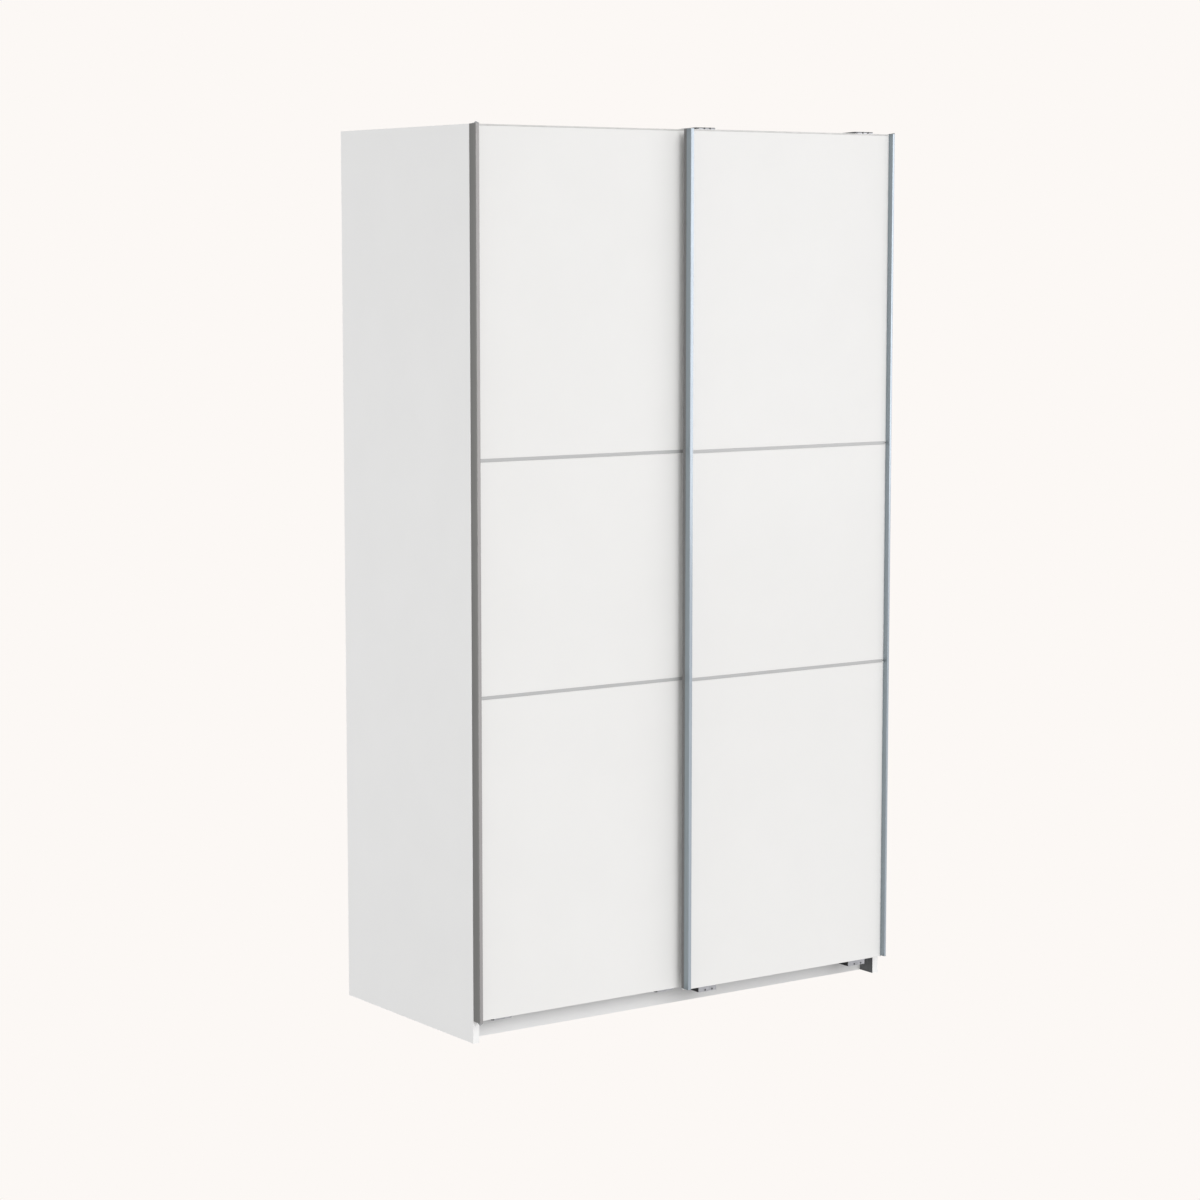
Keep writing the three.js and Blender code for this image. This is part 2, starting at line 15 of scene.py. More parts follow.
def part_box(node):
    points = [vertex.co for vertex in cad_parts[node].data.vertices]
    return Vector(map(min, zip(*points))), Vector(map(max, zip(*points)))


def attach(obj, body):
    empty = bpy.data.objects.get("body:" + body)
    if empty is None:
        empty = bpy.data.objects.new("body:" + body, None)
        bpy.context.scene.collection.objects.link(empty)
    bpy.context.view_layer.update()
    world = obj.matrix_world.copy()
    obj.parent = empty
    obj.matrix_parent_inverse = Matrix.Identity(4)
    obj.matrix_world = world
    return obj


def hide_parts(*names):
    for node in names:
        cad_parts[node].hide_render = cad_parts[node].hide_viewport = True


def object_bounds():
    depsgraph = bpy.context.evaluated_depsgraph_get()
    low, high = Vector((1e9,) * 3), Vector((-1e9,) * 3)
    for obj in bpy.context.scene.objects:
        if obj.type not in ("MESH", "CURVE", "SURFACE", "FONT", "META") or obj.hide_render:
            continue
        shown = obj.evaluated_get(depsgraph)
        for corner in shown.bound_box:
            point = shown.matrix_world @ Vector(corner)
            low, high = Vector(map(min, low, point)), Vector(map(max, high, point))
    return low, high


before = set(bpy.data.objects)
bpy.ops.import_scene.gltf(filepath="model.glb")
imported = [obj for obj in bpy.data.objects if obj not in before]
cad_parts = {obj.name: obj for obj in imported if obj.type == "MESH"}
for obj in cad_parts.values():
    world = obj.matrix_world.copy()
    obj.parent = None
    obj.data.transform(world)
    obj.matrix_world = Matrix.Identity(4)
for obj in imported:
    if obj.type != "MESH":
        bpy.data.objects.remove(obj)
CAD_BOX = [list(corner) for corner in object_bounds()]
scene = bpy.context.scene

DOORS = ("rear_door", "front_door")
SIDES = ("left", "right")
SHELVES = [f"shelf_{i}" for i in range(1, 5)]      # in the right bay


def mm(*values):
    """Millimetres to metres: one number, or a tuple of them."""
    metres = tuple(v * 0.001 for v in values)
    return metres[0] if len(metres) == 1 else metres


CLEARANCE = mm(0.3)                 # between CAD pieces that touch
SEAM = mm(0.005)                    # vertices of the imported mesh closer than this are one
OVERLAP = mm(1)                     # of a cutter past the faces that it cuts through
SHARP = math.radians(35)            # steeper edges are shaded sharp
BEVELLED = math.radians(40)         # steeper edges are rounded
FLAT = math.radians(1)              # faces that meet at less are one face


# ------ shapes
# A shape is (vertices, faces). Shapes are joined before they become one Blender piece.

PLANE_AXES = {"x": (1, 2, 0), "y": (0, 2, 1), "z": (0, 1, 2)}


def run_section(outline, axis, start, end, holes=()):
    """A flat outline, with its holes, run along an axis as a closed solid."""
    u, v, w = PLANE_AXES[axis]
    loops = [outline, *holes]
    verts = []
    for level in (start, end):
        for loop in loops:
            for a, b in loop:
                corner = [0.0, 0.0, 0.0]
                corner[u], corner[v], corner[w] = a, b, level
                verts.append(tuple(corner))
    count = sum(len(loop) for loop in loops)
    flat = tessellate_polygon([[Vector((a, b, 0)) for a, b in loop] for loop in loops])
    faces = [tuple(reversed(t)) for t in flat]
    faces += [tuple(i + count for i in t) for t in flat]
    first = 0
    for loop in loops:
        size = len(loop)
        for i in range(size):
            j = (i + 1) % size
            faces.append((first + i, first + j, first + j + count, first + i + count))
        first += size
    return verts, faces


def lathe(profile, axis, centre, segments=48):
    """A closed ring, or a solid that starts and ends on the axis, turned about an axis.

    The profile's points are (radius, height along the axis) in metres.
    """
    u, v, w = PLANE_AXES[axis]
    verts, rows = [], []
    for radius, height in profile:
        row = []
        for k in range(1 if radius == 0 else segments):
            angle = 2 * math.pi * k / segments
            corner = [0.0, 0.0, 0.0]
            corner[u] = centre[u] + radius * math.cos(angle)
            corner[v] = centre[v] + radius * math.sin(angle)
            corner[w] = centre[w] + height
            row.append(len(verts))
            verts.append(tuple(corner))
        rows.append(row)
    closed = profile[0][0] > 0
    pairs = list(zip(rows, rows[1:]))
    if closed:
        pairs.append((rows[-1], rows[0]))
    faces = []
    for low, high in pairs:
        for k in range(segments):
            n = (k + 1) % segments
            if len(low) == 1:
                faces.append((low[0], high[n], high[k]))
            elif len(high) == 1:
                faces.append((low[k], low[n], high[0]))
            else:
                faces.append((low[k], low[n], high[n], high[k]))
    return verts, faces


def join(*shapes):
    """Several shapes as one."""
    verts, faces = [], []
    for some_verts, some_faces in shapes:
        first = len(verts)
        verts += some_verts
        faces += [tuple(i + first for i in face) for face in some_faces]
    return verts, faces


def rounded(points, radius, steps=5):
    """An outline with each corner replaced by an arc. radius is one number or one per corner."""
    radii = [radius] * len(points) if isinstance(radius, (int, float)) else radius
    result = []
    for i, corner in enumerate(points):
        here = Vector(corner)
        to_before = (Vector(points[i - 1]) - here).normalized()
        to_after = (Vector(points[(i + 1) % len(points)]) - here).normalized()
        half = to_before.angle(to_after) / 2
        straight = half > math.radians(89)
        if radii[i] == 0 or straight:
            result.append(tuple(here))
            continue
        reach = radii[i] / math.tan(half)
        middle = here + (to_before + to_after).normalized() * (radii[i] / math.sin(half))
        start = here + to_before * reach - middle
        end = here + to_after * reach - middle
        sweep = start.angle(end)
        for k in range(steps + 1):
            part = sweep * k / steps
            blend = (start * math.sin(sweep - part) + end * math.sin(part)) / math.sin(sweep)
            result.append(tuple(middle + blend))
    return result


def bent_sheet(path, thickness, bend):
    """Outline of sheet metal that follows a path of straight runs, with round bends."""
    line = [Vector(p) for p in rounded(path, [0] + [bend] * (len(path) - 2) + [0], steps=6)]
    left, right = [], []
    for i, point in enumerate(line):
        before = line[max(i - 1, 0)]
        after = line[min(i + 1, len(line) - 1)]
        along = (after - before).normalized()
        side = Vector((-along.y, along.x)) * (thickness / 2)
        left.append(tuple(point + side))
        right.append(tuple(point - side))
    return left + right[::-1]


def circle(centre, radius, segments=24):
    """Outline of a round hole or bar."""
    angles = [2 * math.pi * k / segments for k in range(segments)]
    return [(centre[0] + radius * math.cos(a), centre[1] + radius * math.sin(a)) for a in angles]


def directed(profile, direction):
    """A profile for lathe() as it is, or with its heights reversed when direction is -1."""
    return [(radius, direction * height) for radius, height in profile]


def slot_outline(centre, width, height, segments=12):
    """A round-ended slot, standing upright when it is higher than it is wide."""
    radius = min(width, height) / 2
    reach_u, reach_v = width / 2 - radius, height / 2 - radius
    outline = []
    for k in range(2 * segments):
        angle = 2 * math.pi * (k + 0.5) / (2 * segments)
        u = centre[0] + math.copysign(reach_u, math.cos(angle)) + radius * math.cos(angle)
        v = centre[1] + math.copysign(reach_v, math.sin(angle)) + radius * math.sin(angle)
        outline.append((u, v))
    return outline


def screw_head(centre, axis, direction, radius, height):
    """A pan head with a cross recess. Its underside is at centre and it faces direction."""
    u, v, w = PLANE_AXES[axis]
    points = 16
    cross_arm, cross_waist = 0.55, 0.2
    # Share of the radius, share of the height, and whether the ring follows the recess.
    rings = [(1.0, 0.0, False), (1.0, 0.35, False), (0.86, 0.8, False), (0.66, 1.0, False),
             (1.0, 1.0, True), (0.7, 0.35, True)]
    verts, faces = [], []
    for scale, rise, crossed in rings:
        for k in range(points):
            reach = radius * scale
            if crossed:
                reach *= cross_arm if k % 4 == 0 else cross_waist
            angle = 2 * math.pi * k / points
            corner = list(centre)
            corner[u] += reach * math.cos(angle)
            corner[v] += reach * math.sin(angle)
            corner[w] += direction * height * rise
            verts.append(tuple(corner))
    for ring in range(len(rings) - 1):
        for k in range(points):
            n = (k + 1) % points
            a, b = ring * points, (ring + 1) * points
            faces.append((a + k, a + n, b + n, b + k))
    last = (len(rings) - 1) * points
    faces.append(tuple(range(points)))
    faces.append(tuple(last + k for k in range(points)))
    return verts, faces


# ------ pieces

def make_object(name, shape):
    """A linked object with outward normals, smooth faces and sharp edges where it is angular."""
    mesh = bpy.data.meshes.new(name)
    mesh.from_pydata(shape[0], [], shape[1])
    work = bmesh.new()
    work.from_mesh(mesh)
    bmesh.ops.remove_doubles(work, verts=work.verts, dist=1e-7)
    bmesh.ops.recalc_face_normals(work, faces=work.faces)
    work.to_mesh(mesh)
    work.free()
    mesh.shade_smooth()
    mesh.set_sharp_from_angle(angle=SHARP)
    item = bpy.data.objects.new(name, mesh)
    scene.collection.objects.link(item)
    return item


def dress(item, material, body, replaced=()):
    """Gives a piece its material, the body it travels with and the nodes it stands for."""
    item.data.materials.clear()
    item.data.materials.append(material)
    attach(item, body)
    if replaced:
        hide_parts(*replaced)
    return item


def add_piece(name, shape, material, body, replaced=()):
    """A new piece of the wardrobe, made from a shape."""
    return dress(make_object(name, shape), material, body, replaced)


def soften(item, width, segments=2):
    """Small round edges. The seams of the imported mesh are welded first."""
    weld = item.modifiers.new("weld", "WELD")
    weld.merge_threshold = SEAM
    bevel = item.modifiers.new("soft_edges", "BEVEL")
    bevel.width = width
    bevel.segments = segments
    bevel.limit_method = "ANGLE"
    bevel.angle_limit = BEVELLED
    bevel.harden_normals = True


def keep_node(node, material, edge=0.4):
    """A CAD node whose shape is right: it gets its material and edges softened by edge, in mm."""
    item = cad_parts[node]
    item.data.materials.clear()
    item.data.materials.append(material)
    soften(item, mm(edge))


def cut_holes(item, cutters):
    """Cuts closed shapes out of an object and keeps the result as its mesh."""
    tool = make_object("cutter", join(*cutters))
    cut = item.modifiers.new("holes", "BOOLEAN")
    cut.operation = "DIFFERENCE"
    cut.object = tool
    cut.solver = "EXACT"
    graph = bpy.context.evaluated_depsgraph_get()
    carved = bpy.data.meshes.new_from_object(item.evaluated_get(graph))
    item.modifiers.clear()
    item.data = carved
    bpy.data.objects.remove(tool)


def carved_node(node, cutters, material, body, edge=0.4):
    """A copy of a CAD board with holes cut into it, standing for the board."""
    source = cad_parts[node]
    item = bpy.data.objects.new(f"{node}_board", source.data.copy())
    scene.collection.objects.link(item)
    work = bmesh.new()
    work.from_mesh(item.data)
    bmesh.ops.remove_doubles(work, verts=work.verts, dist=SEAM)
    bmesh.ops.dissolve_limit(work, angle_limit=FLAT, verts=work.verts, edges=work.edges)
    work.to_mesh(item.data)
    work.free()
    cut_holes(item, cutters)
    soften(item, mm(edge))
    return dress(item, material, body, (node,))


# ------ materials

class Nodes:
    """A material's node tree with short calls for the nodes that are used here.

    Textures lie in the object's own coordinates: a scale of 1000 gives a grain of about 1 mm.
    """

    def __init__(self, name, colour, roughness, metallic=0.0):
        self.material = bpy.data.materials.new(name)
        self.material.use_nodes = True
        self.tree = self.material.node_tree
        self.shader = self.tree.nodes["Principled BSDF"]
        self.set("Base Color", (*colour, 1.0))
        self.set("Roughness", roughness)
        self.set("Metallic", metallic)
        self.coords = self.tree.nodes.new("ShaderNodeTexCoord")

    def set(self, socket, value):
        self.shader.inputs[socket].default_value = value

    def link(self, output, node_input):
        self.tree.links.new(output, node_input)

    def drive(self, socket, output):
        """Lets a node's output decide one of the shader's inputs."""
        self.link(output, self.shader.inputs[socket])

    def stretched(self, scale):
        mapping = self.tree.nodes.new("ShaderNodeMapping")
        mapping.inputs["Scale"].default_value = scale
        self.link(self.coords.outputs["Object"], mapping.inputs["Vector"])
        return mapping.outputs["Vector"]

    def noise(self, scale, detail=3.0, stretch=(1, 1, 1), roughness=0.55):
        node = self.tree.nodes.new("ShaderNodeTexNoise")
        node.inputs["Scale"].default_value = scale
        node.inputs["Detail"].default_value = detail
        node.inputs["Roughness"].default_value = roughness
        self.link(self.stretched(stretch), node.inputs["Vector"])
        return node.outputs["Fac"]

    def cells(self, scale, stretch=(1, 1, 1), feature="F1"):
        node = self.tree.nodes.new("ShaderNodeTexVoronoi")
        node.inputs["Scale"].default_value = scale
        node.feature = feature
        self.link(self.stretched(stretch), node.inputs["Vector"])
        return node

    def spread(self, value, low, high, from_low=0.3, from_high=0.7):
        node = self.tree.nodes.new("ShaderNodeMapRange")
        node.inputs["From Min"].default_value = from_low
        node.inputs["From Max"].default_value = from_high
        node.inputs["To Min"].default_value = low
        node.inputs["To Max"].default_value = high
        self.link(value, node.inputs["Value"])
        return node.outputs["Result"]

    def mix(self, factor, first, second):
        """Colours or links, mixed by a factor between 0 and 1."""
        node = self.tree.nodes.new("ShaderNodeMix")
        node.data_type = "RGBA"
        self.link(factor, node.inputs["Factor"])
        for value, socket in ((first, node.inputs[6]), (second, node.inputs[7])):
            if isinstance(value, tuple):
                socket.default_value = (*value, 1.0)
            else:
                self.link(value, socket)
        return node.outputs[2]

    def bump(self, *layers):
        """Layers of (height value, distance in metres, strength), finest last."""
        normal = None
        for height, distance, strength in layers:
            node = self.tree.nodes.new("ShaderNodeBump")
            node.inputs["Distance"].default_value = distance
            node.inputs["Strength"].default_value = strength
            self.link(height, node.inputs["Height"])
            if normal is not None:
                self.link(normal, node.inputs["Normal"])
            normal = node.outputs["Normal"]
        self.drive("Normal", normal)

    def facing(self, axis, sign, threshold=0.7):
        """1 where the surface faces along an axis of the object, else 0."""
        split = self.tree.nodes.new("ShaderNodeSeparateXYZ")
        self.link(self.coords.outputs["Normal"], split.inputs[0])
        value = split.outputs["XYZ".index(axis)]
        soft_edge = 0.1
        low, high = threshold * sign, (threshold + soft_edge) * sign
        return self.spread(value, 0.0, 1.0, from_low=low, from_high=high)


BOARD_WHITE = (0.862, 0.86, 0.855)
FOIL_WHITE = (0.905, 0.898, 0.884)
GRAPHITE = (0.135, 0.14, 0.146)
CHIP_DARK, CHIP_LIGHT = (0.33, 0.22, 0.12), (0.56, 0.42, 0.26)
FIBRE_DARK, FIBRE_LIGHT = (0.19, 0.115, 0.06), (0.33, 0.215, 0.12)
# Fibre shades of the grey felt seal, which also paints the shade in the gap between the doors.
GAP_SHADE_FELT_DARK, GAP_SHADE_FELT_LIGHT = (0.14, 0.14, 0.142), (0.24, 0.24, 0.24)

# Stretches of a texture that is drawn out along Z (upright) or along X (lying).
UPRIGHT_THREADS, LYING_THREADS = (1, 1, 0.05), (0.05, 1, 1)
UPRIGHT_LINES, LYING_LINES = (1, 1, 0.012), (0.012, 1, 1)
UPRIGHT_RIPPLE = (1, 1, 0.12)


def scaled(colour, factor):
    """A darker or lighter shade of a colour."""
    return tuple(c * factor for c in colour)


def board_white(name, colour, roughness, grain):
    """White faced board: a fine pearl texture pressed into the foil, with faint unevenness."""
    n = Nodes(name, colour, roughness)
    cloud = n.spread(n.noise(7, 4), 0, 1)
    n.drive("Base Color", n.mix(cloud, scaled(colour, 0.985), colour))
    smear = n.noise(11, 5, (1, 1, 0.35))
    n.drive("Roughness", n.spread(smear, roughness - 0.05, roughness + 0.06))
    n.set("IOR", 1.48)
    n.bump((n.noise(45, 2), mm(0.6), 0.03), (n.noise(grain, 3), mm(0.08), 0.22))
    return n


def chipboard(n):
    """Colour of a bare chipboard edge."""
    flakes = n.cells(420).outputs["Distance"]
    return n.mix(n.spread(flakes, 0, 1, from_low=0.1, from_high=0.7), CHIP_DARK, CHIP_LIGHT)


def woven_grey(n):
    """Graphite decor of the interior: a fine linen print of crossed threads."""
    warp = n.noise(700, 2, UPRIGHT_THREADS)
    weft = n.noise(700, 2, LYING_THREADS)
    threads = n.tree.nodes.new("ShaderNodeMath")
    threads.operation = "ADD"
    n.link(warp, threads.inputs[0])
    n.link(weft, threads.inputs[1])
    crossed = n.spread(threads.outputs[0], 0, 1, from_low=0.75, from_high=1.25)
    return n.mix(crossed, scaled(GRAPHITE, 0.82), scaled(GRAPHITE, 1.18))


def side_board(name, inward):
    """A side: white outside, graphite on the face that looks inwards, bare along its rear edge."""
    n = board_white(name, BOARD_WHITE, roughness=0.5, grain=900)
    outside = n.shader.inputs["Base Color"].links[0].from_socket
    faces = n.mix(n.facing("X", inward), outside, woven_grey(n))
    n.drive("Base Color", n.mix(n.facing("Y", 1), faces, chipboard(n)))
    return n.material


def inner_board():
    """Boards of the interior, in graphite decor with bare rear edges."""
    n = Nodes("inner_board", GRAPHITE, 0.5)
    n.drive("Base Color", n.mix(n.facing("Y", 1), woven_grey(n), chipboard(n)))
    n.drive("Roughness", n.spread(n.noise(11, 5), 0.46, 0.58))
    n.bump((n.noise(700, 2, UPRIGHT_THREADS), mm(0.1), 0.3), (n.noise(900, 3), mm(0.05), 0.2))
    return n.material


def plinth_board():
    """The white board of the sides, for boards that show no graphite face."""
    return board_white("plinth_board", BOARD_WHITE, roughness=0.5, grain=900).material


def grey_band():
    """Graphite edge banding on the boards of the interior."""
    n = Nodes("grey_edge_band", GRAPHITE, 0.42)
    n.drive("Base Color", n.mix(n.noise(300, 3), scaled(GRAPHITE, 0.9), scaled(GRAPHITE, 1.1)))
    n.drive("Roughness", n.spread(n.noise(60, 3), 0.36, 0.48))
    n.bump((n.noise(1500, 2, UPRIGHT_RIPPLE), mm(0.03), 0.25))
    return n.material


def edge_band():
    """Plastic edge banding: smoother and slightly brighter than the board's face."""
    n = Nodes("edge_band", (0.955, 0.95, 0.94), 0.38)
    ripple = n.noise(1500, 2, UPRIGHT_RIPPLE)
    n.bump((ripple, mm(0.03), 0.25))
    n.drive("Roughness", n.spread(n.noise(60, 3), 0.34, 0.43))
    return n.material


def door_foil():
    """White foil of the door boards, with a weaker sheen than the carcass."""
    n = board_white("door_foil", FOIL_WHITE, roughness=0.42, grain=1100)
    n.set("Specular IOR Level", 0.15)
    return n.material


def hardboard():
    """Back sheets: graphite decor towards the inside, brown with a screen print behind."""
    n = Nodes("hardboard_back", GRAPHITE, 0.6)
    fibre = n.noise(260, 5, (1, 1, 0.5))
    brown = n.mix(n.spread(fibre, 0, 1), FIBRE_DARK, FIBRE_LIGHT)
    rear = n.facing("Y", 1)
    n.drive("Base Color", n.mix(rear, woven_grey(n), brown))
    n.drive("Roughness", n.spread(rear, 0.55, 0.82, from_low=0, from_high=1))
    screen = n.cells(480)
    n.bump((fibre, mm(0.2), 0.3), (screen.outputs["Distance"], mm(0.15), 0.35))
    return n.material


def aluminium(name, colour):
    """Satin anodised profile: fine lines along its length and slight tone changes."""
    n = Nodes(name, colour, 0.42, metallic=1.0)
    lines = n.noise(900, 4, UPRIGHT_LINES)
    tone = n.noise(5, 3, (1, 1, 0.3))
    n.drive("Base Color", n.mix(n.spread(lines, 0, 1), scaled(colour, 0.93), scaled(colour, 1.07)))
    n.drive("Roughness", n.spread(tone, 0.39, 0.45))
    n.bump((lines, mm(0.03), 0.2))
    return n.material


def drawn_strip(name, colour, metallic):
    """Strips and rails drawn along X, bare or matt: dividers, track and guide rail."""
    n = Nodes(name, colour, 0.5, metallic)
    lines = n.noise(900, 4, LYING_LINES)
    n.drive("Base Color", n.mix(n.spread(lines, 0, 1), scaled(colour, 0.95), scaled(colour, 1.05)))
    n.drive("Roughness", n.spread(n.noise(8, 3, (0.3, 1, 1)), 0.46, 0.55))
    n.bump((lines, mm(0.03), 0.2))
    return n.material


def zinc(name, colour):
    """Zinc plate with a faint spangle and rolling marks."""
    n = Nodes(name, colour, 0.36, metallic=1.0)
    spangle = n.cells(140).outputs["Color"]
    grey = n.tree.nodes.new("ShaderNodeRGBToBW")
    n.link(spangle, grey.inputs[0])
    n.drive("Base Color", n.mix(grey.outputs[0], scaled(colour, 0.89), scaled(colour, 1.1)))
    n.drive("Roughness", n.spread(n.noise(90, 4), 0.3, 0.44))
    n.bump((n.noise(700, 3), mm(0.04), 0.2))
    return n.material


def chrome():
    """Bright chromed tube, with faint marks along its length from sliding hangers."""
    n = Nodes("chromed_tube", (0.8, 0.81, 0.82), 0.09, metallic=1.0)
    n.drive("Roughness", n.spread(n.noise(30, 5, (0.1, 1, 1)), 0.06, 0.16))
    n.bump((n.noise(400, 2, (0.1, 1, 1)), mm(0.01), 0.15))
    return n.material


def plastic(name, colour, roughness, grain=1400):
    """Moulded plastic with a fine spark-eroded texture."""
    n = Nodes(name, colour, roughness)
    lighter = tuple(min(1.0, c * 1.12 + 0.004) for c in colour)
    n.drive("Base Color", n.mix(n.spread(n.noise(50, 3), 0, 1), colour, lighter))
    n.drive("Roughness", n.spread(n.noise(120, 3), roughness - 0.06, roughness + 0.06))
    n.bump((n.noise(grain, 2), mm(0.06), 0.3))
    return n.material


def felt_and_painted_gap_shade():
    """Grey brushed seal of short upright fibres, dark enough that it also paints the shade in the gap
    between the doors.
    """
    n = Nodes("grey_felt_and_painted_gap_shade", (0.2, 0.2, 0.2), 0.95)
    fibres = n.noise(2200, 3, (1, 1, 0.3))
    n.drive("Base Color", n.mix(n.spread(fibres, 0, 1), GAP_SHADE_FELT_DARK, GAP_SHADE_FELT_LIGHT))
    n.bump((fibres, mm(0.2), 0.6))
    return n.material


def dark_steel():
    """Blackened screws and rivets."""
    n = Nodes("blackened_screw", (0.09, 0.092, 0.095), 0.4, metallic=0.8)
    n.drive("Roughness", n.spread(n.noise(900, 3), 0.32, 0.5))
    n.bump((n.noise(1600, 2), mm(0.03), 0.2))
    return n.material


SIDE_BOARD = {"left": side_board("left_side_board", 1), "right": side_board("right_side_board", -1)}
INNER_BOARD = inner_board()
PLINTH_BOARD = plinth_board()
EDGE_BAND = edge_band()
GREY_BAND = grey_band()
DOOR_FOIL = door_foil()
HARDBOARD = hardboard()
ALUMINIUM = {
    "rear_door": aluminium("anodised_aluminium", (0.311, 0.307, 0.299)),
    # The front door's profiles get a cooler, bluish tint: a painted reflection on the same aluminium as
    # the rear door's.
    "front_door": aluminium("aluminium_painted_cool_reflection", (0.312, 0.358, 0.388)),
}
DRAWN_STRIP = drawn_strip("drawn_aluminium", (0.55, 0.56, 0.565), metallic=1.0)
MATT_STRIP = drawn_strip("matt_divider_strip", (0.505, 0.507, 0.505), metallic=0.0)
FELT_AND_PAINTED_GAP_SHADE = felt_and_painted_gap_shade()
ZINC = zinc("zinc_plate", (0.56, 0.575, 0.59))
DULL_ZINC = zinc("dull_zinc_plate", (0.33, 0.34, 0.35))
CHROME = chrome()
DARK_STEEL = dark_steel()
BLACK_PLASTIC = plastic("black_plastic", (0.012, 0.012, 0.013), roughness=0.5)
WHITE_PLASTIC = plastic("white_nylon", (0.82, 0.82, 0.79), roughness=0.42)
GREY_CAP = plastic("grey_cap", (0.3, 0.305, 0.31), roughness=0.5)
TOP_TRIM = plastic("door_top_trim", (0.6, 0.595, 0.58), roughness=0.45)


# ------ carcass

PIN_PITCH = mm(32)                  # system holes
PIN_INSET = mm(37)                  # rows from the front and the rear edge of a shelf
PIN_HOLE_RADIUS = mm(2.5)
PIN_RADIUS = mm(2.3)


def pin_rows():
    """Heights of the pin holes: five around the underside of each shelf of the right bay."""
    levels = []
    for shelf in SHELVES:
        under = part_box(shelf)[0].z - PIN_HOLE_RADIUS
        levels += [under + k * PIN_PITCH for k in (-2, -1, 0, 1, 2)]
    return levels


def pin_columns(shelf):
    """Y of the front and the rear row of a shelf's pins."""
    low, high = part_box(shelf)
    return low.y + PIN_INSET, high.y - PIN_INSET


def pin_hole(x, y, z, direction):
    """Cutter for one blind hole in a face at x that looks along X in the given direction."""
    depth = mm(11)
    ends = sorted((x + direction * OVERLAP, x - direction * depth))
    return run_section(circle((y, z), PIN_HOLE_RADIUS, 12), "x", *ends)


def dress_carcass():
    """Boards with pin holes beside the right bay, and plain boards elsewhere."""
    partition_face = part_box("centre_partition")[1].x
    side_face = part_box("side_panel_right")[0].x
    spots = [(y, z) for y in pin_columns("shelf_1") for z in pin_rows()]
    in_partition = [pin_hole(partition_face, y, z, 1) for y, z in spots]
    in_side = [pin_hole(side_face, y, z, -1) for y, z in spots]
    carved_node("centre_partition", in_partition, INNER_BOARD, "carcass")
    carved_node("side_panel_right", in_side, SIDE_BOARD["right"], "carcass")
    keep_node("side_panel_left", SIDE_BOARD["left"])
    for node in ("plinth_front", "plinth_rear"):
        keep_node(node, PLINTH_BOARD)
    for node in ("top_panel", "bottom_panel", "hat_shelf", *SHELVES):
        keep_node(node, INNER_BOARD)
    for side in SIDES:
        keep_node(f"back_panel_{side}", HARDBOARD, edge=0.2)
    keep_node("back_joiner_strip", GREY_CAP, edge=0.2)


def band(low, high):
    """A strip of edge banding on a board's front edge, with its long edges rounded over."""
    thickness, corner = mm(0.5), mm(0.45)
    front = low.y - thickness
    upright = high.z - low.z > high.x - low.x
    if upright:
        outline = [(low.x, low.y), (low.x, front), (high.x, front), (high.x, low.y)]
        run = ("z", low.z, high.z)
    else:
        outline = [(low.y, low.z), (front, low.z), (front, high.z), (low.y, high.z)]
        run = ("x", low.x, high.x)
    return run_section(rounded(outline, [0, corner, corner, 0], 3), *run)


def add_edge_bands():
    """White bands on the sides' front edges, graphite bands on those of the inner boards."""
    outside = [band(*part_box(f"side_panel_{side}")) for side in SIDES]
    add_piece("side_edge_bands", join(*outside), EDGE_BAND, "carcass")
    boards = ["centre_partition", "top_panel", "bottom_panel", "hat_shelf", *SHELVES]
    inside = [band(*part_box(node)) for node in boards]
    add_piece("inner_edge_bands", join(*inside), GREY_BAND, "carcass")


def shelf_pin(face, y, z, direction):
    """A pin in its hole, reaching out under the shelf, with a collar against the board's face."""
    depth, reach, chamfer, tip = mm(8), mm(7), mm(0.8), mm(1.8)
    collar_radius, collar_thickness, collar_drop = mm(4), mm(1), mm(1.7)
    shank = [(0, -depth), (PIN_RADIUS, -depth), (PIN_RADIUS, reach - chamfer), (tip, reach), (0, reach)]
    disc = [(0, 0), (collar_radius, 0), (collar_radius, collar_thickness), (0, collar_thickness)]
    pin = lathe(directed(shank, direction), "x", (face, y, z), 16)
    collar = lathe(directed(disc, direction), "x", (face, y, z - collar_drop), 20)
    return join(pin, collar)


def add_shelf_pins():
    """Four pins under each shelf."""
    play = mm(0.1)
    bays = [("hat_shelf", "side_panel_left", "centre_partition")]
    bays += [(shelf, "centre_partition", "side_panel_right") for shelf in SHELVES]
    pins = []
    for shelf, left, right in bays:
        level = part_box(shelf)[0].z - PIN_RADIUS - play
        for face, direction in ((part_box(left)[1].x, 1), (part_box(right)[0].x, -1)):
            pins += [shelf_pin(face, y, level, direction) for y in pin_columns(shelf)]
    add_piece("shelf_pins", join(*pins), ZINC, "carcass")


def add_cam_caps():
    """Grey caps over the cam fittings, where the top and bottom panels meet the sides."""
    radius, height, chamfer = mm(8.5), mm(1.2), mm(1)
    inset_x, inset_y = mm(34), mm(60)
    disc = [(0, 0), (radius, 0), (radius, -height * 0.5), (radius - chamfer, -height), (0, -height)]
    caps = []
    for node, face, direction in (("top_panel", 0, 1), ("bottom_panel", 1, -1)):
        low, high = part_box(node)
        level = (low, high)[face].z
        for x in (low.x + inset_x, high.x - inset_x):
            for y in (low.y + inset_y, high.y - inset_y):
                caps.append(lathe(directed(disc, direction), "z", (x, y, level), 28))
    add_piece("cam_caps", join(*caps), GREY_CAP, "carcass")


